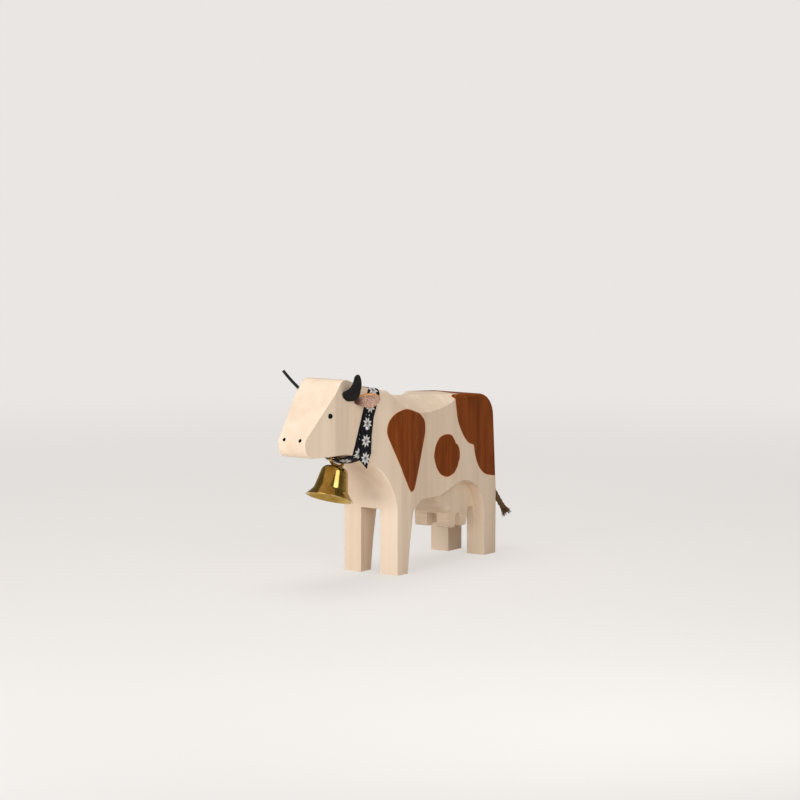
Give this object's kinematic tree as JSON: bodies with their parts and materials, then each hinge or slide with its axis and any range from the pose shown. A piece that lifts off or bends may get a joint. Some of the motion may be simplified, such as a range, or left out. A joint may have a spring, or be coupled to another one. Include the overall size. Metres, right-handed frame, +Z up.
{
  "type": "carved wooden cow figurine",
  "caption": "Standing cow carved from a wooden block, with leather horns and ears, a rope tail, a ribbon collar and a brass bell whose clapper swings.",
  "frame": {"origin": "on the ground under the middle of the cow, halfway between nose and rump and between the flanks", "axes": "+X towards the rump, so the cow faces -X; its left flank is on -Y; +Z up"},
  "size_m": [0.2133, 0.0572, 0.1257],
  "materials": {
    "lime_wood": "sanded, oiled",
    "horn_leather": "satin",
    "ear_leather": "suede",
    "pin_black": "gloss",
    "woven_ribbon": "woven",
    "nail_steel": "polished",
    "bell_brass": "polished",
    "fitting_brass": "satin",
    "tail_cord": "twisted"
  },
  "bodies": {
    "root": {"body": "lime_wood", "horn_left": "horn_leather", "horn_right": "horn_leather", "ear_left": "ear_leather", "ear_right": "ear_leather", "eye_left": "pin_black", "eye_right": "pin_black", "collar_ribbon": "woven_ribbon", "collar_nail": "nail_steel", "tail_rope": "tail_cord"},
    "bell": {"bell": "bell_brass", "bell_loop": "fitting_brass", "clapper_staple": "fitting_brass"},
    "clapper": {"clapper": "fitting_brass"}
  },
  "joints": [
    {"name": "bell_swing", "type": "hinge", "parent": "root", "child": "bell", "pos_m": [-0.04971, 0, 0.07321], "axis": [0.9397, 0, -0.342], "range_deg": [-32, 32]},
    {"name": "clapper_swing", "type": "hinge", "parent": "bell", "child": "clapper", "pos_m": [-0.05282, 0, 0.06466], "axis": [0, 1, 0], "range_deg": [-12, 52]}
  ]
}
